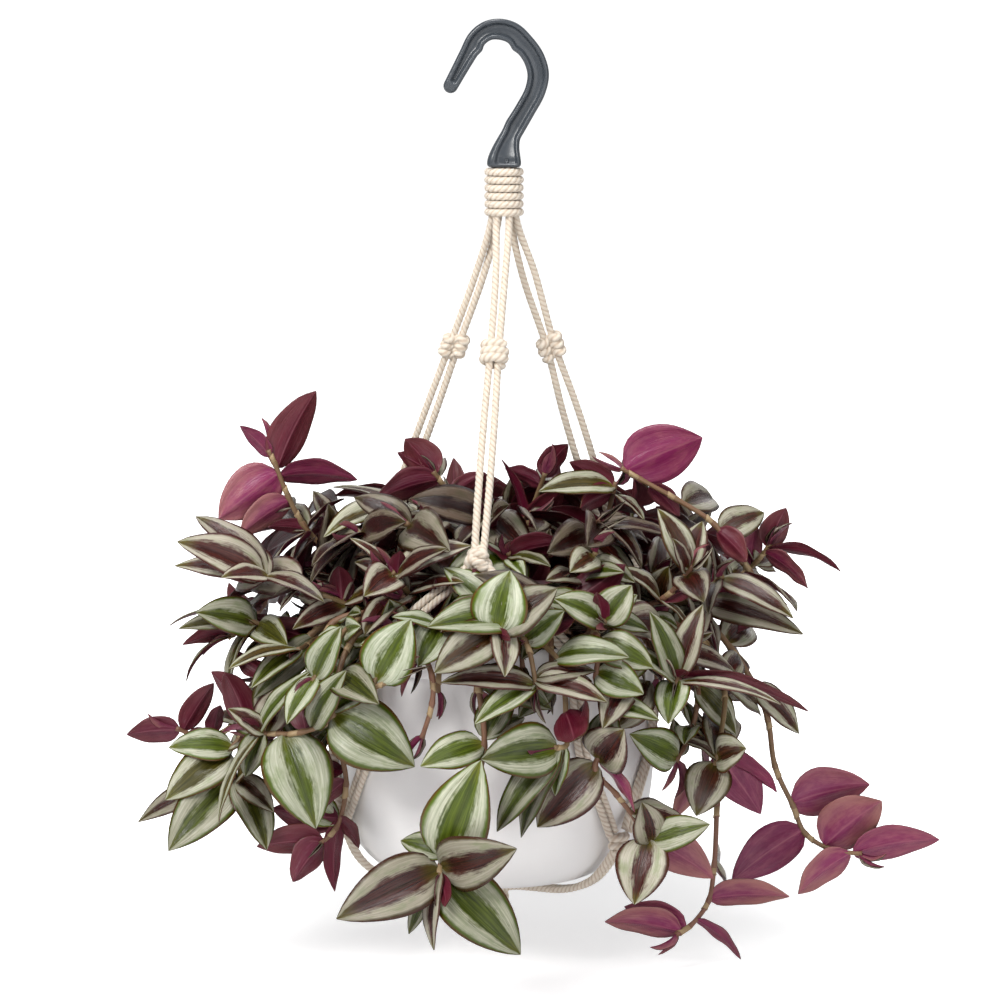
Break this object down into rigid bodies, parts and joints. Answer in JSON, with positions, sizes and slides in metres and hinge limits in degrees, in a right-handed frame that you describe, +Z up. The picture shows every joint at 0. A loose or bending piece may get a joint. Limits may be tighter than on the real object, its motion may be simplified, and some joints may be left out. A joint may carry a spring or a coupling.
{
  "type": "hanging potted plant",
  "caption": "Striped trailing plant in a pale bowl pot, hung in a knotted cord hanger from a dark plastic hook",
  "frame": {"origin": "top of the hook's inside, where the hook rests on what holds the part up", "axes": "+Z up, the longest extent; the front faces -Y; +X to the right seen from the front"},
  "size_m": [0.4078, 0.3246, 0.4624],
  "materials": {
    "hook": "satin dark grey",
    "cord": "twisted cream cotton",
    "pot": "satin pale grey",
    "soil": "rough, granular",
    "striped_leaves": "satin, green with silver bands and maroon undersides",
    "purple_leaves": "satin, purple green with maroon undersides"
  },
  "bodies": {
    "root": {"hook": "hook", "gathering_wrap": "cord", "leg_front": "cord", "leg_right": "cord", "leg_left": "cord", "net_cord_front_left_from_front_leg": "cord", "net_cord_front_left_from_left_leg": "cord", "net_cord_front_right_from_front_leg": "cord", "net_cord_front_right_from_right_leg": "cord", "net_cord_back_from_right_leg": "cord", "net_cord_back_from_left_leg": "cord", "under_cord_front_left": "cord", "under_cord_front_right": "cord", "under_cord_back": "cord", "bottom_knot": "cord", "pot": "pot", "soil": "soil", "stem_upright_left": "striped_leaves", "stem_left_striped": "striped_leaves", "stem_left_low": "striped_leaves", "stem_top_left": "striped_leaves", "stem_top_maroon": "striped_leaves", "stem_centre_left": "striped_leaves", "stem_upper_right": "striped_leaves", "stem_right_sprig": "striped_leaves", "stem_right_rosette": "striped_leaves", "stem_right_striped": "striped_leaves", "stem_front_rosette": "striped_leaves", "stem_front_green": "striped_leaves", "stem_front_round": "striped_leaves", "stem_left_rosette": "striped_leaves", "stem_lower_left": "striped_leaves", "stem_left_sprig": "striped_leaves", "stem_left_middle": "striped_leaves", "stem_left_front": "striped_leaves", "stem_bottom_rosette": "striped_leaves", "stem_bare": "striped_leaves", "stem_front_middle": "striped_leaves", "stem_purple_rosette": "striped_leaves", "stem_front_striped": "striped_leaves", "stem_right_low_rosette": "striped_leaves", "stem_front_right": "striped_leaves", "stem_right_hanging": "striped_leaves", "stem_right_cluster": "striped_leaves", "stem_trailing_right": "striped_leaves", "stem_trailing_low": "striped_leaves", "stem_top_silver": "striped_leaves", "stem_top_curled": "striped_leaves", "stem_centre": "striped_leaves", "stem_centre_right": "striped_leaves", "stem_front_upper_right": "striped_leaves", "clump_back": "purple_leaves", "clump_back_right": "purple_leaves", "clump_back_left": "purple_leaves", "clump_middle_back": "purple_leaves", "clump_middle_left": "purple_leaves", "clump_middle_right": "purple_leaves", "clump_side_right": "purple_leaves", "clump_side_left": "purple_leaves", "clump_middle": "purple_leaves"}
  },
  "joints": []
}
